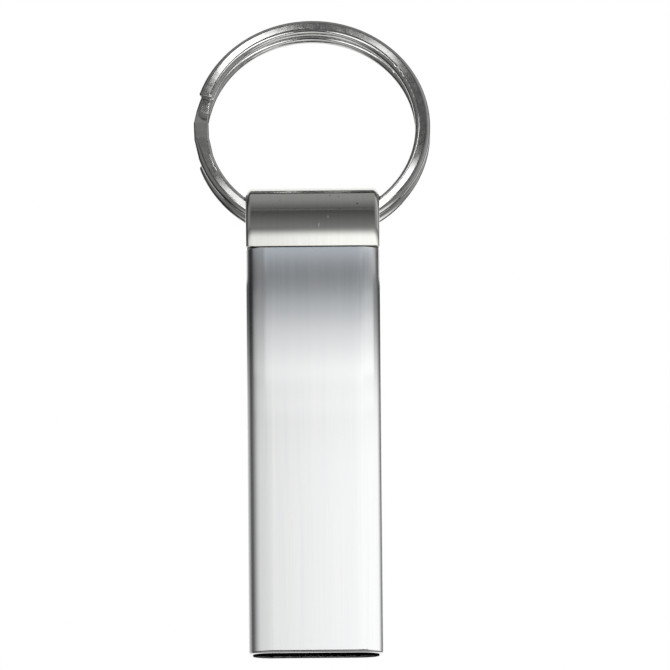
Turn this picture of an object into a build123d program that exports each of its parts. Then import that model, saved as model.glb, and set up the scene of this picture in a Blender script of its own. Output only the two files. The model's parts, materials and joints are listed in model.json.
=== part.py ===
from build123d import *
from math import cos, radians, sin
import os

# USB flash drive on a split key ring. The drive hangs from the ring by a rolled steel loop, and a brushed
# steel sleeve covers its plug and slides down off it. Millimetres, +Z up, +X to the right, and the front
# faces -Y. The origin is the inner top of the split ring, where the ring hangs. The drive and its sleeve
# are laid out from the swing axis, which is the line through the loop that the drive turns about on the
# ring: depths are measured down from it, and distances to the back are along +Y.

os.makedirs("parts", exist_ok=True)

# Split ring
ring_diameter = 25.0
wire_width = 1.6
wire_thickness = 1.15
wire_corner = 0.52
coil_gap = 0.05
coil_drop = 0.3
ring_lean = 18.2
ring_end_angle = 162.5
wire_end_round = 0.28
# Crossover between the coils: share of its length, place from back (-1) to front (1), and wire corner
crossover = (
    (0.0, 1.0, 0.52),
    (0.3, 1.0, 0.3),
    (0.6, 0.1, 0.22),
    (0.83, -1.0, 0.3),
    (1.0, -1.0, 0.52),
)
loop_play = 1.9

# Body and sleeve
body_width = 14.0
body_depth = 7.0
body_corner = 2.6
sleeve_top = 3.2
sleeve_bottom = 45.8
sleeve_wall = 0.4
mouth_round = 0.08
rim_round = 0.3
end_plug_recess = 0.2
end_plug_length = 2.2
end_plug_fit = 0.02
end_plug_hollow = 1.2
end_plug_wall = 0.9

# Rolled loop, its legs and the pins through them
roll_diameter = 8.5
roll_drop = 0.76
strap = 0.7
strap_edge_round = 0.65
heel_round = 0.1
tunnel_floor = 2.62
tunnel_round = 0.4
leg_gap = 0.08
leg_width = 11.2
leg_bottom = 11.0
neck_round = 0.7
shoulder_depth = 3.14
pin_depth = 8.6
pin_spacing = 6.6
pin_diameter = 1.5
pin_reach = 2.85
pin_head_diameter = 2.8
pin_head_height = 0.5
pin_head_round = 0.15
hole_clearance = 0.05

# Carrier, the two plastic halves round the board
sleeve_clearance = 0.15
carrier_top = 4.1
carrier_bottom = 30.9
leg_slot_clearance = 0.05
slot_end_clearance = 0.15
cavity_top = 12.4
cavity_width = 12.0
cavity_depth = 4.4
peg_depth = 11.75
peg_spacing = 9.0
peg_diameter = 0.8
peg_height = 0.9
carrier_round = 0.3

# Friction band round the carrier
band_top = 5.0
band_length = 1.6
band_groove = 0.35
band_side_gap = 0.05
band_sleeve_gap = 0.05

# Light window
window_depth = 25.6
window_diameter = 1.6
flange_diameter = 2.2
flange_thickness = 0.3

# Plug
plug_width = 12.0
plug_thickness = 4.5
plug_corner = 0.5
plug_back = 27.4
plug_tip = 42.9
plug_fit = 0.02
shell_wall = 0.3
shell_lip = 0.12
shell_window_width = 2.4
shell_window_length = 2.1
shell_window_spacing = 5.2
shell_window_depth = 37.4
shell_seam = 0.08
tab_length = 3.2
tab_height = 1.4
tongue_width = 11.0
tongue_recess = 0.8
rear_block_length = 1.5
rear_block_top = 28.9
contact_width = 1.0
contact_thickness = 0.2
contact_tail = 26.9
contact_slot_clearance = 0.03
contacts = (("ground", 3.5, 3.0), ("data_plus", 1.0, 4.0), ("data_minus", -1.0, 4.0), ("power", -3.5, 3.0))

# Board
board_width = 11.2
board_thickness = 0.8
board_top = 12.6
board_bottom = 28.7
board_corner = 0.4

# Packages on the board: width, length and height, then the depth of each one and its distance to the right
package_bevel = 0.08
front_packages = {
    "flash_chip": ((9.0, 11.0, 1.0), ((18.6, 0.0),)),
    "status_led": ((1.6, 0.8, 0.6), ((window_depth, 0.0),)),
    "fuse": ((1.6, 0.8, 0.5), ((25.6, -3.6),)),
}
back_packages = {
    "controller_chip": ((6.0, 6.0, 0.85), ((23.0, 0.9),)),
    "crystal": ((3.2, 2.5, 0.7), ((17.2, 2.6),)),
    "regulator": ((1.6, 2.9, 1.0), ((16.2, -3.2),)),
    "ferrite_bead": ((1.2, 2.0, 0.8), ((20.2, -4.4),)),
    "capacitors": ((0.8, 1.6, 0.45), ((14.0, 0.4), (16.2, 0.4), (18.4, 0.4))),
    "resistors": ((0.8, 1.6, 0.45), ((24.0, -3.6), (26.0, -3.6))),
}

# Derived sizes and places
ring_outer = ring_diameter / 2
ring_inner = ring_outer - wire_width
wire_radius = (ring_outer + ring_inner) / 2
coil_offset = (wire_thickness + coil_gap) / 2
ring_up = Vector(0, sin(radians(ring_lean)), cos(radians(ring_lean)))
ring_front = Vector(0, -cos(radians(ring_lean)), sin(radians(ring_lean)))
ring_centre = ring_up * -ring_inner
swing_axis = ring_centre - ring_up * (ring_outer - loop_play)
roll_radius = roll_diameter / 2
inner_width = body_width - 2 * sleeve_wall
inner_depth = body_depth - 2 * sleeve_wall
inner_corner = body_corner - sleeve_wall
carrier_width = inner_width - 2 * sleeve_clearance
carrier_depth = inner_depth - 2 * sleeve_clearance
carrier_corner = inner_corner - sleeve_clearance
board_face = contact_thickness / 2
board_back = board_face + board_thickness


def level(depth):
    """A horizontal plane below the swing axis. Its +Y points to the back."""
    return Plane(origin=(0, swing_axis.Y, swing_axis.Z - depth))


def upright(back):
    """A plane facing the front, at a distance behind the swing axis. Its +Y points up."""
    return Plane(origin=(0, swing_axis.Y + back, swing_axis.Z), x_dir=(1, 0, 0), z_dir=(0, -1, 0))


def across(right):
    """A plane facing right. Its +X points to the back and its +Y points up."""
    return Plane(origin=(right, swing_axis.Y, swing_axis.Z), x_dir=(0, 1, 0), z_dir=(1, 0, 0))


def coil_centre(share):
    """The centre of a coil, from the back one (-1), which sits lower, to the front one (1)."""
    return ring_centre + ring_front * share * coil_offset + ring_up * share * coil_drop / 2


def across_wire(angle, share):
    """A plane across the wire of a coil, at an angle round the ring from its right."""
    outward = Vector(cos(radians(angle)), 0, 0) + ring_up * sin(radians(angle))
    middle = coil_centre(share) + outward * wire_radius
    return Plane(origin=middle, x_dir=outward, z_dir=ring_front.cross(outward))


def package(size, depth, right, behind):
    """A chip or a small component on the board's front face, or on its back face."""
    width, length, height = size
    face = upright(board_back + height) if behind else upright(board_face)
    with BuildPart() as block:
        with BuildSketch(face):
            with Locations((right, -depth)):
                Rectangle(width, length)
        extrude(amount=height)
        outer_face = block.faces().sort_by(Axis.Y)[-1 if behind else 0]
        chamfer(outer_face.edges(), package_bevel)
    return block.part


# Split ring: two coils, the back one a little lower, joined on the left by a crossover
with BuildPart() as split_ring:
    for share in (1, -1):
        with BuildSketch(across_wire(-ring_end_angle, share)):
            RectangleRounded(wire_width, wire_thickness, wire_corner)
        revolve(axis=Axis(coil_centre(share), ring_front), revolution_arc=2 * ring_end_angle)
    for along, share, corner in crossover:
        turn = 180 + (1 - 2 * along) * (180 - ring_end_angle)
        with BuildSketch(across_wire(turn, share)):
            RectangleRounded(wire_width, wire_thickness, corner)
    loft(ruled=True)
    free_ends = split_ring.faces().filter_by(GeomType.PLANE).sort_by(SortBy.AREA)[:2]
    fillet(free_ends.edges(), wire_end_round)
split_ring.part.label = "split_ring"
export_step(split_ring.part, "parts/split_ring.step")

# Rolled loop: one strap bent round the ring's tunnel, turned in at the heels, its two legs pressed together
with BuildPart() as loop_strap:
    with BuildSketch(across(-body_width / 2)):
        with Locations((0, -roll_drop)):
            Circle(roll_radius)
    extrude(amount=body_width)
    fillet(loop_strap.edges().filter_by(GeomType.CIRCLE), strap_edge_round)
    with BuildSketch(level(shoulder_depth)):
        Rectangle(2 * body_width, 2 * roll_diameter)
    extrude(amount=-roll_diameter, mode=Mode.SUBTRACT)
    fillet(loop_strap.faces().sort_by(Axis.Z)[0].edges(), heel_round)
    # The legs, which flare into the floor of the tunnel
    with BuildSketch(across(-leg_width / 2)):
        with Locations((0, -(tunnel_floor + shoulder_depth) / 2)):
            Rectangle(body_depth - 2 * strap, shoulder_depth - tunnel_floor)
        with Locations((0, -(tunnel_floor + leg_bottom) / 2)):
            Rectangle(2 * strap + leg_gap, leg_bottom - tunnel_floor)
        floor_corners = vertices().filter_by_position(Axis.Y, -shoulder_depth, -shoulder_depth)
        fillet(floor_corners.sort_by(Axis.X)[1:-1], neck_round)
    extrude(amount=leg_width)
    # The tunnel, and the gap between the legs
    with BuildSketch(across(-body_width / 2)):
        with Locations((0, -roll_drop)):
            Circle(roll_radius - strap)
        with Locations((0, -tunnel_floor - roll_radius)):
            Rectangle(2 * roll_radius, 2 * roll_radius, mode=Mode.SUBTRACT)
        fillet(vertices().sort_by(Axis.Y)[:2], tunnel_round)
        with Locations((0, -leg_bottom / 2 - strap)):
            Rectangle(leg_gap, leg_bottom)
    extrude(amount=body_width, mode=Mode.SUBTRACT)
    with BuildSketch(upright(-body_depth)):
        with Locations((0, -pin_depth)):
            with GridLocations(pin_spacing, 0, 2, 1):
                Circle(pin_diameter / 2 + hole_clearance)
    extrude(amount=-2 * body_depth, mode=Mode.SUBTRACT)
loop_strap.part.label = "loop_strap"
export_step(loop_strap.part, "parts/loop_strap.step")

# Two headed pins that hold the legs between the carrier halves
for name, side in (("left", -1), ("right", 1)):
    with BuildPart() as loop_pin:
        with BuildSketch(upright(-pin_reach)):
            with Locations((side * pin_spacing / 2, -pin_depth)):
                Circle(pin_diameter / 2)
        extrude(amount=-2 * pin_reach)
        for back, length in ((-pin_reach, -pin_head_height), (pin_reach, pin_head_height)):
            with BuildSketch(upright(back)):
                with Locations((side * pin_spacing / 2, -pin_depth)):
                    Circle(pin_head_diameter / 2)
            extrude(amount=length)
        outer_faces = loop_pin.faces().sort_by(Axis.Y)
        fillet(outer_faces[0].edges() + outer_faces[-1].edges(), pin_head_round)
    loop_pin.part.label = f"loop_pin_{name}"
    export_step(loop_pin.part, f"parts/loop_pin_{name}.step")

# Carrier halves, which meet at the loop's mid-plane: side is -1 for the front half and 1 for the back half
for name, side in (("front", -1), ("back", 1)):
    with BuildPart() as carrier:
        with BuildSketch(level(carrier_top)):
            RectangleRounded(carrier_width, carrier_depth, carrier_corner)
        extrude(amount=carrier_top - carrier_bottom)
        ends = carrier.faces().filter_by(Axis.Z)
        chamfer(ends.edges(), carrier_round)
        # Groove for the friction band
        with BuildSketch(level(band_top)):
            Rectangle(2 * carrier_width, 2 * carrier_depth)
            RectangleRounded(
                carrier_width - 2 * band_groove,
                carrier_depth - 2 * band_groove,
                carrier_corner - band_groove,
                mode=Mode.SUBTRACT,
            )
        extrude(amount=-band_length, mode=Mode.SUBTRACT)
        # Slot for the loop's legs
        with BuildSketch(level(carrier_top)):
            Rectangle(leg_width + 2 * leg_slot_clearance, 2 * (strap + leg_slot_clearance) + leg_gap)
        extrude(amount=carrier_top - leg_bottom - slot_end_clearance, mode=Mode.SUBTRACT)
        # Room for the board, and the pocket that holds the plug's shell
        with BuildSketch(level(cavity_top)):
            RectangleRounded(cavity_width, cavity_depth, board_corner)
        extrude(amount=cavity_top - plug_back, mode=Mode.SUBTRACT)
        with BuildSketch(level(plug_back - plug_fit)):
            RectangleRounded(plug_width + 2 * plug_fit, plug_thickness + 2 * plug_fit, plug_corner)
        extrude(amount=plug_back - plug_fit - carrier_bottom, mode=Mode.SUBTRACT)
        # Pin holes, with a seat for each head
        with BuildSketch(upright(-carrier_depth)):
            with Locations((0, -pin_depth)):
                with GridLocations(pin_spacing, 0, 2, 1):
                    Circle(pin_diameter / 2 + hole_clearance)
        extrude(amount=-2 * carrier_depth, mode=Mode.SUBTRACT)
        with BuildSketch(upright(side * (pin_reach - pin_head_height))):
            with Locations((0, -pin_depth)):
                with GridLocations(pin_spacing, 0, 2, 1):
                    Circle(pin_head_diameter / 2 + hole_clearance)
        extrude(amount=-side * carrier_depth, mode=Mode.SUBTRACT)
        # One half of the body
        split(bisect_by=upright(0), keep=Keep.TOP if side < 0 else Keep.BOTTOM)
        # Locating pegs on the back half, and their sockets in the front half
        with BuildSketch(upright(0)):
            with Locations((0, -peg_depth)):
                with GridLocations(peg_spacing, 0, 2, 1):
                    Circle(peg_diameter / 2 + (hole_clearance if side < 0 else 0))
        if side > 0:
            extrude(amount=peg_height)
        else:
            extrude(amount=peg_height + hole_clearance, mode=Mode.SUBTRACT)
            with BuildSketch(upright(-cavity_depth / 2)):
                with Locations((0, -window_depth)):
                    Circle(window_diameter / 2 + hole_clearance)
            extrude(amount=carrier_depth, mode=Mode.SUBTRACT)
    carrier.part.label = f"carrier_{name}"
    export_step(carrier.part, f"parts/carrier_{name}.step")

# Friction band, a rubber loop in the carrier's groove that rubs on the sleeve
with BuildPart() as grip_band:
    with BuildSketch(level(band_top + band_side_gap)):
        RectangleRounded(
            inner_width - 2 * band_sleeve_gap,
            inner_depth - 2 * band_sleeve_gap,
            inner_corner - band_sleeve_gap,
        )
        RectangleRounded(
            carrier_width - 2 * band_groove,
            carrier_depth - 2 * band_groove,
            carrier_corner - band_groove,
            mode=Mode.SUBTRACT,
        )
    extrude(amount=2 * band_side_gap - band_length)
grip_band.part.label = "grip_band"
export_step(grip_band.part, "parts/grip_band.step")

# Light window, a clear stepped button behind the hole in the front half
with BuildPart() as light_window:
    with BuildSketch(upright(-cavity_depth / 2)):
        with Locations((0, -window_depth)):
            Circle(window_diameter / 2)
    extrude(amount=(carrier_depth - cavity_depth) / 2)
    fillet(light_window.faces().sort_by(Axis.Y)[0].edges(), package_bevel)
    with BuildSketch(upright(-cavity_depth / 2)):
        with Locations((0, -window_depth)):
            Circle(flange_diameter / 2)
    extrude(amount=-flange_thickness)
light_window.part.label = "light_window"
export_step(light_window.part, "parts/light_window.step")

# Circuit board
with BuildPart() as circuit_board:
    with BuildSketch(upright(board_back)):
        with Locations((0, -(board_top + board_bottom) / 2)):
            RectangleRounded(board_width, board_bottom - board_top, board_corner)
    extrude(amount=board_thickness)
circuit_board.part.label = "circuit_board"
export_step(circuit_board.part, "parts/circuit_board.step")

# Packages on the board, each on its own or as a group of like ones
for behind, packages in ((False, front_packages), (True, back_packages)):
    for name, (size, places) in packages.items():
        group = [package(size, depth, right, behind) for depth, right in places]
        assembly = Compound(children=group) if len(group) > 1 else group[0]
        assembly.label = name
        export_step(assembly, f"parts/{name}.step")

# Plug shell: a folded steel tube with latch windows, a seam at the back and two tabs beside the board
with BuildPart() as plug_shell:
    with BuildSketch(level(plug_back)):
        RectangleRounded(plug_width, plug_thickness, plug_corner)
    extrude(amount=plug_back - plug_tip)
    chamfer(plug_shell.faces().sort_by(Axis.Z)[0].edges(), shell_lip)
    with BuildSketch(level(plug_back)):
        RectangleRounded(plug_width - 2 * shell_wall, plug_thickness - 2 * shell_wall, plug_corner - shell_wall)
    extrude(amount=plug_back - plug_tip, mode=Mode.SUBTRACT)
    with BuildSketch(upright(-plug_thickness)):
        with Locations((0, -shell_window_depth)):
            with GridLocations(shell_window_spacing, 0, 2, 1):
                RectangleRounded(shell_window_width, shell_window_length, shell_lip)
    extrude(amount=-2 * plug_thickness, mode=Mode.SUBTRACT)
    with BuildSketch(level(plug_back)):
        with Locations((0, plug_thickness / 2)):
            Rectangle(shell_seam, 2 * shell_wall + shell_seam)
    extrude(amount=plug_back - plug_tip, mode=Mode.SUBTRACT)
    for side in (-1, 1):
        with BuildSketch(across(side * (plug_width - shell_wall) / 2)):
            with Locations(((board_face + board_back) / 2, -plug_back + tab_length / 2)):
                Rectangle(tab_height, tab_length)
        extrude(amount=shell_wall / 2, both=True)
plug_shell.part.label = "plug_shell"
export_step(plug_shell.part, "parts/plug_shell.step")

# Plug tongue: the insulator behind the contacts, with the block that closes the shell's rear
with BuildPart() as plug_tongue:
    with BuildSketch(level(rear_block_top)):
        with Locations((0, (plug_thickness / 2 - shell_wall + board_face) / 2)):
            Rectangle(tongue_width, plug_thickness / 2 - shell_wall - board_face)
    extrude(amount=rear_block_top - plug_tip + tongue_recess)
    chamfer(plug_tongue.faces().sort_by(Axis.Z)[0].edges(), package_bevel)
    with BuildSketch(level(rear_block_top)):
        RectangleRounded(tongue_width, plug_thickness - 2 * shell_wall, plug_corner - shell_wall)
    extrude(amount=-rear_block_length)
    with BuildSketch(level(rear_block_top)):
        for name, right, recess in contacts:
            with Locations((right, 0)):
                Rectangle(
                    contact_width + 2 * contact_slot_clearance,
                    contact_thickness + 2 * contact_slot_clearance,
                )
    extrude(amount=-rear_block_length, mode=Mode.SUBTRACT)
plug_tongue.part.label = "plug_tongue"
export_step(plug_tongue.part, "parts/plug_tongue.step")

# Four contacts, each one strip from the board's face to the front of the tongue
for name, right, recess in contacts:
    with BuildPart() as contact:
        with BuildSketch(level(contact_tail)):
            with Locations((right, 0)):
                Rectangle(contact_width, contact_thickness)
        extrude(amount=contact_tail - plug_tip + recess)
        front_face = contact.faces().sort_by(Axis.Y)[0]
        chamfer(front_face.edges().sort_by(Axis.Z)[0], package_bevel)
    contact.part.label = f"contact_{name}"
    export_step(contact.part, f"parts/contact_{name}.step")

# Sleeve
with BuildPart() as sleeve:
    with BuildSketch(level(sleeve_top)):
        RectangleRounded(body_width, body_depth, body_corner)
    extrude(amount=sleeve_top - sleeve_bottom)
    fillet(sleeve.faces().sort_by(Axis.Z)[-1].edges(), mouth_round)
    fillet(sleeve.faces().sort_by(Axis.Z)[0].edges(), rim_round)
    with BuildSketch(level(sleeve_top)):
        RectangleRounded(inner_width, inner_depth, inner_corner)
    extrude(amount=sleeve_top - sleeve_bottom, mode=Mode.SUBTRACT)
sleeve.part.label = "sleeve"
export_step(sleeve.part, "parts/sleeve.step")

# End plug, a black plastic cup pressed into the sleeve's lower end
with BuildPart() as sleeve_end_plug:
    with BuildSketch(level(sleeve_bottom - end_plug_recess)):
        RectangleRounded(
            inner_width - 2 * end_plug_fit,
            inner_depth - 2 * end_plug_fit,
            inner_corner - end_plug_fit,
        )
    extrude(amount=end_plug_length)
    chamfer(sleeve_end_plug.faces().filter_by(Axis.Z).edges(), package_bevel)
    with BuildSketch(level(sleeve_bottom - end_plug_recess - end_plug_length)):
        RectangleRounded(
            inner_width - 2 * end_plug_wall,
            inner_depth - 2 * end_plug_wall,
            inner_corner - end_plug_wall,
        )
    extrude(amount=-end_plug_hollow, mode=Mode.SUBTRACT)
sleeve_end_plug.part.label = "sleeve_end_plug"
export_step(sleeve_end_plug.part, "parts/sleeve_end_plug.step")
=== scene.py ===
import json
from math import atan, cos, pi, radians, sin, tan

import bpy
from mathutils import Matrix, Vector


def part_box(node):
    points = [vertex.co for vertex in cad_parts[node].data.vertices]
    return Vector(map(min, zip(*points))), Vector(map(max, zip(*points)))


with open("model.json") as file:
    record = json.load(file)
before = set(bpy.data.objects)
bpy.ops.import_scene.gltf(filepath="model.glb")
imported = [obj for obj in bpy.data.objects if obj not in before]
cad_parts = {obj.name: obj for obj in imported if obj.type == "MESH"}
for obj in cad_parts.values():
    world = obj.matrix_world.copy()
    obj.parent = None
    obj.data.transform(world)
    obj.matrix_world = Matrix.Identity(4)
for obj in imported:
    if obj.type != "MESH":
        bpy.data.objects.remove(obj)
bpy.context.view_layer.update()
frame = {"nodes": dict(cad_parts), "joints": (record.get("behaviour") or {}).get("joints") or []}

MM = 0.001
nodes = frame["nodes"]
swing = next(j for j in frame["joints"] if j["name"] == "drive_swing")
hinge = Vector(swing["pos_m"])

# Camera and picture
PIXEL = 0.105 * MM          # size of one pixel at the object
FRAME_PIXELS = 670
LENS = 500
SENSOR = 36
ELEVATION = radians(-7.3)   # the camera looks up at the object from a little below
ROLL = radians(0.5)         # the object hangs half a degree off the picture's upright


# ---------------------------------------------------------------- node helpers
class Graph:
    """A node tree with short calls for the nodes that every material here uses."""

    def __init__(self, tree):
        self.tree = tree
        self.tree.nodes.clear()

    def add(self, kind, **settings):
        node = self.tree.nodes.new(kind)
        for key, value in settings.items():
            setattr(node, key, value)
        return node

    def link(self, source, target):
        self.tree.links.new(source, target)

    def put(self, socket, value):
        """Sets an input to a number or a colour, or links it to another node's output."""
        if isinstance(value, bpy.types.NodeSocket):
            self.link(value, socket)
        elif isinstance(value, tuple) and len(value) == 3 and socket.type == "RGBA":
            socket.default_value = (*value, 1.0)
        else:
            socket.default_value = value

    def math(self, operation, a, b=0.0, clamp=False):
        node = self.add("ShaderNodeMath", operation=operation, use_clamp=clamp)
        self.put(node.inputs[0], a)
        self.put(node.inputs[1], b)
        return node.outputs[0]

    def ramp(self, factor, stops, interpolation="LINEAR"):
        """A colour ramp: stops is a list of (position, grey or colour)."""
        node = self.add("ShaderNodeValToRGB")
        node.color_ramp.interpolation = interpolation
        elements = node.color_ramp.elements
        while len(elements) < len(stops):
            elements.new(0.5)
        for element, (position, colour) in zip(elements, stops):
            element.position = position
            element.color = (*colour, 1.0) if isinstance(colour, tuple) else (colour, colour, colour, 1.0)
        self.put(node.inputs[0], factor)
        return node.outputs[0]

    def spread(self, value, low, high, new_low, new_high):
        """Maps low..high to new_low..new_high, held at both ends."""
        node = self.add("ShaderNodeMapRange")
        for socket, number in zip(node.inputs[:5], (value, low, high, new_low, new_high)):
            self.put(socket, number)
        return node.outputs[0]

    def mix(self, factor, a, b, blend="MIX"):
        node = self.add("ShaderNodeMix", data_type="RGBA", blend_type=blend)
        self.put(node.inputs[0], factor)
        self.put(node.inputs[6], a)
        self.put(node.inputs[7], b)
        return node.outputs[2]

    def place(self, scale=(1.0, 1.0, 1.0)):
        """The object's own coordinates in millimetres, stretched by scale."""
        coordinates = self.add("ShaderNodeTexCoord").outputs["Object"]
        mapping = self.add("ShaderNodeMapping")
        mapping.inputs["Scale"].default_value = tuple(s / MM for s in scale)
        self.link(coordinates, mapping.inputs["Vector"])
        return mapping.outputs[0]

    def noise(self, where, scale=1.0, detail=2.0, roughness=0.5, distortion=0.0):
        node = self.add("ShaderNodeTexNoise")
        self.put(node.inputs["Vector"], where)
        self.put(node.inputs["Scale"], scale)
        self.put(node.inputs["Detail"], detail)
        self.put(node.inputs["Roughness"], roughness)
        self.put(node.inputs["Distortion"], distortion)
        return node.outputs["Fac"]

    def bump(self, height, distance, strength=1.0, under=None):
        node = self.add("ShaderNodeBump")
        self.put(node.inputs["Height"], height)
        self.put(node.inputs["Distance"], distance)
        self.put(node.inputs["Strength"], strength)
        if under is not None:
            self.link(under, node.inputs["Normal"])
        return node.outputs[0]

    def mark(self, centre, half_size):
        """1 inside a small ellipsoid at a place in millimetres, falling to 0 outside it."""
        coordinates = self.add("ShaderNodeTexCoord").outputs["Object"]
        mapping = self.add("ShaderNodeMapping", vector_type="POINT")
        mapping.inputs["Scale"].default_value = tuple(1 / (size * MM) for size in half_size)
        mapping.inputs["Location"].default_value = tuple(-c / size for c, size in zip(centre, half_size))
        self.link(coordinates, mapping.inputs["Vector"])
        length = self.add("ShaderNodeVectorMath", operation="LENGTH")
        self.link(mapping.outputs[0], length.inputs[0])
        return self.spread(length.outputs["Value"], 0.6, 1.0, 1.0, 0.0)

    def surface(self, **inputs):
        """The Principled shader, wired to the output."""
        shader = self.add("ShaderNodeBsdfPrincipled")
        for name, value in inputs.items():
            self.put(shader.inputs[name.replace("_", " ")], value)
        out = self.add("ShaderNodeOutputMaterial")
        self.link(shader.outputs[0], out.inputs["Surface"])
        return shader


def new_material(name):
    material = bpy.data.materials.new(name)
    material.use_nodes = True
    return material, Graph(material.node_tree)


# ---------------------------------------------------------------- materials
# Wear on the roll: how far across it in mm, degrees above straight ahead, then its size in mm, which is a
# pit's radius, or half a scratch's width and length
PITS = (
    (1.83, 44.9, 0.09), (2.77, 42.7, 0.08), (4.7, 28.4, 0.1),
    (2.9, 20.0, 0.06), (-3.4, 36.0, 0.06), (-5.1, 12.0, 0.05),
)
SCRATCHES = (
    (1.62, 7.9, 0.06, 0.22), (0.67, -3.0, 0.06, 0.28),
    (-2.2, 56.5, 0.75, 0.12), (-4.4, 30.0, 0.05, 0.12),
)


def sleeve_steel():
    """Stainless steel brushed along the sleeve, with faint streaks of the wheel's passes."""
    material, g = new_material("sleeve_steel")
    fine = g.noise(g.place((9.0, 9.0, 0.06)), detail=3.0)
    broad = g.noise(g.place((1.3, 1.3, 0.02)), detail=2.0)
    streaks = g.math("ADD", g.math("MULTIPLY", fine, 0.6), g.math("MULTIPLY", broad, 0.4))
    colour = g.ramp(streaks, [(0.3, (0.745, 0.755, 0.765)), (0.7, (0.80, 0.80, 0.80))])
    tangent = g.add("ShaderNodeTangent", direction_type="RADIAL", axis="Z").outputs[0]
    g.surface(
        Base_Color=colour,
        Metallic=1.0,
        Roughness=g.spread(streaks, 0.3, 0.7, 0.18, 0.23),
        Anisotropic=0.5,
        Tangent=tangent,
        Normal=g.bump(fine, 0.002 * MM),
    )
    return material


def on_roll(across, lift):
    """A place on the roll in millimetres: across it, and at an angle above straight ahead."""
    (_, front, low), (_, back, top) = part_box("loop_strap")
    radius = (back - front) / 2
    middle_y, middle_z = (front + back) / 2, top - radius
    y = middle_y - radius * cos(radians(lift))
    z = middle_z + radius * sin(radians(lift))
    return across, y / MM, z / MM


def strap_steel():
    """The rolled loop: a finer satin than the sleeve, with small pits and scratches."""
    material, g = new_material("strap_steel")
    grain = g.noise(g.place((14.0, 14.0, 14.0)), detail=4.0)
    streaks = g.noise(g.place((6.0, 0.15, 0.15)), detail=2.0)
    tone = g.math("ADD", g.math("MULTIPLY", grain, 0.5), g.math("MULTIPLY", streaks, 0.5))
    colour = g.ramp(tone, [(0.3, (0.76, 0.76, 0.725)), (0.7, (0.84, 0.84, 0.80))])
    roughness = g.spread(tone, 0.3, 0.7, 0.06, 0.1)
    for across, lift, size in PITS:
        pit = g.mark(on_roll(across, lift), (size, size, size))
        colour = g.mix(pit, colour, (0.10, 0.10, 0.09))
    for across, lift, width, length in SCRATCHES:
        scratch = g.mark(on_roll(across, lift), (width, length, length))
        roughness = g.math("ADD", roughness, g.math("MULTIPLY", scratch, 0.45), clamp=True)
        colour = g.mix(scratch, colour, (0.95, 0.95, 0.94))
    g.surface(
        Base_Color=colour,
        Metallic=1.0,
        Roughness=roughness,
        Normal=g.bump(grain, 0.003 * MM),
    )
    return material


def ring_steel():
    """Nickel plate over drawn spring wire, with fine scuffs."""
    material, g = new_material("ring_steel")
    scuffs = g.noise(g.place((1.6, 1.6, 1.6)), detail=3.0, roughness=0.5)
    g.surface(
        Base_Color=g.ramp(scuffs, [(0.35, (0.60, 0.60, 0.59)), (0.65, (0.68, 0.68, 0.67))]),
        Metallic=1.0,
        Roughness=g.spread(scuffs, 0.4, 0.75, 0.1, 0.15),
        Normal=g.bump(scuffs, 0.0001 * MM),
    )
    return material


def moulded(name, dark, light, roughness, grain_scale, depth, specular=0.5):
    """A moulded plastic or rubber with a fine even grain."""
    material, g = new_material(name)
    grain = g.noise(g.place((grain_scale,) * 3), detail=3.0)
    g.surface(
        Base_Color=g.ramp(grain, [(0.3, dark), (0.7, light)]),
        Specular_IOR_Level=specular,
        Roughness=g.spread(grain, 0.3, 0.7, roughness - 0.06, roughness + 0.06),
        Normal=g.bump(grain, depth * MM),
    )
    return material


def plain_metal(name, dark, light, roughness):
    """Plated or stamped metal with a soft mottle."""
    material, g = new_material(name)
    mottle = g.noise(g.place((2.5, 2.5, 2.5)), detail=4.0, roughness=0.6)
    g.surface(
        Base_Color=g.ramp(mottle, [(0.3, dark), (0.7, light)]),
        Metallic=1.0,
        Roughness=g.spread(mottle, 0.3, 0.7, roughness - 0.05, roughness + 0.07),
        Normal=g.bump(mottle, 0.002 * MM),
    )
    return material


finishes = {
    "sleeve": sleeve_steel(),
    "loop_strap": strap_steel(),
    "split_ring": ring_steel(),
    "sleeve_end_plug": moulded("end_plastic", (0.004,) * 3, (0.007,) * 3, 0.9, 8.0, 0.004, specular=0.0),
}
carrier_plastic = moulded("carrier_plastic", (0.018,) * 3, (0.028,) * 3, 0.5, 9.0, 0.006)
chip_epoxy = moulded("chip_epoxy", (0.02,) * 3, (0.035,) * 3, 0.55, 12.0, 0.003)
chip_dark = moulded("chip_dark", (0.04, 0.04, 0.045), (0.07, 0.07, 0.075), 0.45, 10.0, 0.003)
pin_steel = plain_metal("pin_steel", (0.55, 0.54, 0.52), (0.68, 0.67, 0.64), 0.28)
plug_steel = plain_metal("plug_steel", (0.66, 0.65, 0.62), (0.78, 0.77, 0.74), 0.24)
can_steel = plain_metal("can_steel", (0.66, 0.65, 0.60), (0.76, 0.75, 0.70), 0.3)
contact_gold = plain_metal("contact_gold", (0.80, 0.58, 0.22), (0.92, 0.72, 0.34), 0.22)
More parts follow.
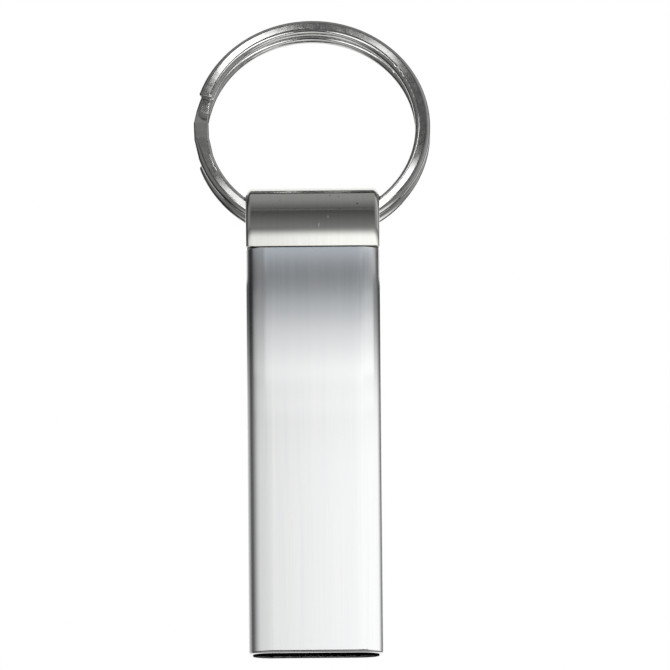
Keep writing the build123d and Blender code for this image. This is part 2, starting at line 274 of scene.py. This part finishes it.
finishes.update({
    "carrier_front": carrier_plastic,
    "carrier_back": carrier_plastic,
    "grip_band": moulded("band_rubber", (0.03,) * 3, (0.05,) * 3, 0.7, 6.0, 0.008),
    "light_window": moulded("window_clear", (0.72, 0.78, 0.80), (0.84, 0.88, 0.90), 0.25, 4.0, 0.002),
    "loop_pin_left": pin_steel,
    "loop_pin_right": pin_steel,
    "circuit_board": moulded("board_green", (0.010, 0.09, 0.035), (0.02, 0.15, 0.06), 0.3, 1.2, 0.002),
    "flash_chip": chip_epoxy,
    "controller_chip": chip_epoxy,
    "regulator": chip_epoxy,
    "crystal": can_steel,
    "status_led": moulded("led_white", (0.80, 0.78, 0.70), (0.90, 0.88, 0.80), 0.3, 6.0, 0.002),
    "fuse": chip_dark,
    "ferrite_bead": chip_dark,
    "resistors": chip_dark,
    "capacitors": moulded("chip_tan", (0.40, 0.29, 0.19), (0.50, 0.38, 0.26), 0.5, 10.0, 0.003),
    "plug_shell": plug_steel,
    "plug_tongue": moulded("tongue_white", (0.74, 0.73, 0.69), (0.84, 0.83, 0.79), 0.4, 8.0, 0.003),
    "contact_power": contact_gold,
    "contact_data_minus": contact_gold,
    "contact_data_plus": contact_gold,
    "contact_ground": contact_gold,
})
for name, material in finishes.items():
    node = nodes[name]
    node.data.materials.clear()
    node.data.materials.append(material)


# ---------------------------------------------------------------- studio
def turn(degrees):
    """A direction, from -180 to 180 degrees, as a position along a colour ramp."""
    return degrees / 360 + 0.5


def studio_world():
    """White to the camera, while the metal mirrors bands of light and dark set by direction."""
    world = bpy.data.worlds.new("studio")
    bpy.context.scene.world = world
    world.use_nodes = True
    g = Graph(world.node_tree)
    direction = g.add("ShaderNodeSeparateXYZ")
    g.link(g.add("ShaderNodeTexCoord").outputs["Generated"], direction.inputs[0])
    x, y, z = direction.outputs
    toward = g.math("MULTIPLY", y, -1.0)
    # Turn about X, from straight ahead of the front face (0) up over the top (90) to behind (180)
    height = g.math("DIVIDE", g.math("ARCTAN2", z, toward), 2 * pi)
    over = g.ramp(g.math("ADD", height, 0.5), [(turn(degrees), tone) for degrees, tone in OVER])
    # Turn about Z, from the front (0) to the right (90) and the left (-90)
    heading = g.math("DIVIDE", g.math("ARCTAN2", x, toward), 2 * pi)
    around = g.ramp(g.math("ADD", heading, 0.5), [(turn(degrees), tone) for degrees, tone in AROUND])
    sideways = g.spread(g.math("ABSOLUTE", x), 0.25, 0.65, 0.0, 1.0)
    mirrored = g.mix(sideways, over, around)
    seen = g.add("ShaderNodeLightPath").outputs["Is Camera Ray"]
    background = g.add("ShaderNodeBackground")
    g.put(background.inputs["Color"], g.mix(seen, mirrored, (1.0, 1.0, 1.0)))
    out = g.add("ShaderNodeOutputWorld")
    g.link(background.outputs[0], out.inputs["Surface"])


def one_sided(g, colour):
    """A material that glows with a colour on its front and is clear from its back."""
    glow = g.add("ShaderNodeEmission")
    g.put(glow.inputs["Color"], colour)
    clear = g.add("ShaderNodeBsdfTransparent")
    shown = g.add("ShaderNodeMixShader")
    g.link(g.add("ShaderNodeNewGeometry").outputs["Backfacing"], shown.inputs[0])
    g.link(glow.outputs[0], shown.inputs[1])
    g.link(clear.outputs[0], shown.inputs[2])
    out = g.add("ShaderNodeOutputMaterial")
    g.link(shown.outputs[0], out.inputs["Surface"])


def mirrored_only(name, mesh):
    """Puts a card on the stage, where only reflections show it."""
    obj = bpy.data.objects.new(name, mesh)
    bpy.context.scene.collection.objects.link(obj)
    obj.visible_camera = False
    obj.visible_shadow = False
    obj.visible_diffuse = False


def card(name, radius, half_angle, low, high, levels, tones):
    """A curved white card in front of the object, seen only in its reflections.

    levels gives its radiance by height from the hinge. tones gives a factor by direction from the front, in
    degrees.
    """
    columns = 32
    vertices, faces = [], []
    for column in range(columns + 1):
        angle = radians(half_angle) * (2 * column / columns - 1)
        for z in (low, high):
            vertices.append((radius * sin(angle), hinge.y - radius * cos(angle), hinge.z + z))
    for column in range(columns):
        corner = 2 * column
        faces.append((corner, corner + 1, corner + 3, corner + 2))
    mesh = bpy.data.meshes.new(name)
    mesh.from_pydata(vertices, [], faces)
    material, g = new_material(name)
    position = g.add("ShaderNodeSeparateXYZ")
    g.link(g.add("ShaderNodeTexCoord").outputs["Object"], position.inputs[0])
    x, y, z = position.outputs
    up = g.spread(z, hinge.z + low, hinge.z + high, 0.0, 1.0)
    level = g.ramp(up, [((height - low) / (high - low), tone) for height, tone in levels])
    toward = g.math("SUBTRACT", hinge.y, y)
    heading = g.math("DIVIDE", g.math("ARCTAN2", x, toward), 2 * pi)
    tone = g.ramp(g.math("ADD", heading, 0.5), [(turn(degrees), factor) for degrees, factor in tones])
    one_sided(g, g.mix(1.0, level, tone, "MULTIPLY"))
    mesh.materials.append(material)
    mirrored_only(name, mesh)


def lit_only(name):
    """A collection of one node, for the lights that shine on nothing else."""
    lit = bpy.data.collections.new(f"{name}_lights")
    lit.objects.link(nodes[name])
    return lit


def lamp(place, heading, width, height, radiance, lit, colour=(1.0, 1.0, 1.0)):
    """A soft rectangular light that faces the object from a heading in radians, hidden from the camera."""
    data = bpy.data.lights.new("soft_light", "AREA")
    data.shape = "RECTANGLE"
    data.size, data.size_y = width, height
    data.energy = radiance * pi * width * height
    data.color = colour
    light = bpy.data.objects.new("soft_light", data)
    light.location = place
    light.rotation_euler = (pi / 2, 0, heading)
    light.visible_camera = False
    light.light_linking.receiver_collection = lit
    bpy.context.scene.collection.objects.link(light)


def strips(distance, banks, levels, only):
    """Stacks of strip lights round one node, lighting only that node.

    banks: (direction from the front in degrees, half width, share of the radiance).
    levels: (low, high, radiance, coolness), measured from the hinge. Coolness goes from white (0) to pale
    blue (1).
    """
    lit = lit_only(only)
    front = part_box(only)[0][1]
    for degrees, half_width, share in banks:
        heading = radians(degrees)
        for low, high, radiance, cool in levels:
            colour = (1 - 0.12 * cool, 1 - 0.01 * cool, 1 + 0.1 * cool)
            place = (distance * sin(heading), front - distance * cos(heading), hinge.z + (low + high) / 2)
            lamp(place, heading, 2 * half_width, high - low, share * radiance, lit, colour)


def patches(distance, windows, only):
    """Small lights in one plane before a node. windows: (left, right, low, high, radiance), in mm."""
    lit = lit_only(only)
    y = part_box(only)[0][1] - distance
    for left, right, low, high, radiance in windows:
        place = ((left + right) / 2 * MM, y, hinge.z + (low + high) / 2 * MM)
        lamp(place, 0.0, (right - left) * MM, (high - low) * MM, radiance, lit)


def floor(height, size):
    """A plain pale floor well below the hanging object."""
    mesh = bpy.data.meshes.new("floor")
    half = size / 2
    corners = [(-half, -half, height), (half, -half, height), (half, half, height), (-half, half, height)]
    mesh.from_pydata(corners, [], [(0, 1, 2, 3)])
    material, g = new_material("floor_pale")
    g.surface(
        Base_Color=(0.9, 0.9, 0.89),
        Roughness=0.9,
        Emission_Color=(0.9, 0.9, 0.9),
        Emission_Strength=0.5,
    )
    mesh.materials.append(material)
    obj = bpy.data.objects.new("floor", mesh)
    bpy.context.scene.collection.objects.link(obj)
    obj.visible_glossy = False
    obj.visible_diffuse = False


def camera():
    """A long lens at the object's picture place: the loop's axis sits where the picture has it."""
    data = bpy.data.cameras.new("camera")
    data.lens, data.sensor_width = LENS, SENSOR
    distance = FRAME_PIXELS * PIXEL / 2 / tan(atan(SENSOR / 2 / LENS))
    data.clip_start, data.clip_end = 0.01, 20
    obj = bpy.data.objects.new("camera", data)
    back = Vector((0, -cos(ELEVATION), sin(ELEVATION)))
    facing = (-back).to_track_quat("-Z", "Y").to_matrix()
    facing = facing @ Matrix.Rotation(-ROLL, 3, "Z")
    right, up = facing.col[0], facing.col[1]
    # The loop's axis lies this many pixels from the picture's middle
    across, above = -22.4, 114.2
    target = hinge - right * across * PIXEL - up * above * PIXEL
    obj.location = target + back * distance
    obj.rotation_mode = "QUATERNION"
    obj.rotation_quaternion = facing.to_quaternion()
    bpy.context.scene.collection.objects.link(obj)
    bpy.context.scene.camera = obj


# Brightness of the studio by direction, in degrees: up over the object from its front, and round it
OVER = (
    (-180, 1.2), (-122, 0.9), (-112, 0.02), (-82, 0.01), (-76, 0.8), (-62, 0.6), (-52, 0.05),
    (-30, 0.01), (-12, 0.02), (-7, 0.22), (0, 0.19), (10, 0.16), (27, 0.11), (39, 0.08),
    (45, 0.08), (46.3, 0.26), (47.6, 0.08), (52, 0.125), (66, 0.2), (80, 0.27), (108, 0.31),
    (109.5, 0.0), (126, 0.0), (127.5, 1.0), (180, 1.2),
)
AROUND = (
    (-180, 1.2), (-158, 1.1), (-146, 0.5), (-140, 0.22), (-128, 0.09), (-118, 0.04),
    (-110, 0.01), (-102, 0.035), (-95, 0.07), (-88, 0.115), (-82, 0.15), (-76, 0.19),
    (-65, 0.22), (-25, 0.22), (0, 0.15), (25, 0.2), (60, 0.3), (90, 0.42), (102, 0.6),
    (110, 0.4), (118, 0.15), (125, 0.08), (131, 0.06), (142, 0.15), (150, 1.0), (180, 1.2),
)

scene = bpy.context.scene
scene.view_settings.view_transform = "Standard"
studio_world()
floor(-1.3, 12.0)
camera()

# A card below the level of the loop, so that the sleeve's face darkens towards its top
card("card", 30 * MM, 155, -52 * MM, -3 * MM, [
    (-52 * MM, 1.12), (-23 * MM, 1.12), (-19 * MM, 1.08), (-15.3 * MM, 0.965), (-12 * MM, 0.7),
    (-8.9 * MM, 0.42), (-6 * MM, 0.25), (-3 * MM, 0.2),
], [
    (-155, 1.0), (-140, 0.75), (-128, 0.42), (-118, 0.45), (-112, 0.09), (-102, 0.06),
    (-95, 0.12), (-88, 0.25), (-82, 0.4), (-76, 0.55), (-65, 0.74), (-30, 0.8), (-8.4, 0.87),
    (0, 1.0), (8.4, 1.07), (30, 1.1), (104, 1.12), (112, 0.85), (121, 0.45), (131, 0.1),
    (142, 0.13), (150, 0.9), (155, 1.0),
])
# Softer light from a little above it, on the sleeve only
strips(20 * MM, [(0, 17 * MM, 1.0), (-68, 10 * MM, 0.5), (68, 10 * MM, 1.1)], [
    (-18.3 * MM, -14.8 * MM, 0.13, 0.0), (-14.8 * MM, -10.8 * MM, 0.40, 0.0),
    (-10.8 * MM, -8.3 * MM, 0.43, 0.2), (-8.3 * MM, -5.8 * MM, 0.3, 0.5),
    (-5.8 * MM, -4.3 * MM, 0.13, 1.0), (-4.3 * MM, -2.6 * MM, 0.06, 1.0),
    (-2.6 * MM, -1.5 * MM, 0.17, 1.0), (-1.5 * MM, 0.2 * MM, 0.42, 1.0),
    (0.2 * MM, 3.2 * MM, 0.5, 1.0),
], "sleeve")

# Lights before the ring only, above the camera's line: they make the bright bands along its wire
patches(26 * MM, [
    (-10.2, -2.0, 43.0, 54.5, 2.8), (2.2, 9.0, 45.0, 53.0, 1.7), (-11.5, -6.6, 17.0, 31.0, 1.5),
    (6.6, 12.5, 17.0, 34.0, 2.2), (-13.5, -10.5, 33.0, 41.0, 0.1),
    (-17.0, -4.5, 6.0, 20.0, 1.8), (4.5, 17.0, 6.0, 20.0, 1.8),
], "split_ring")
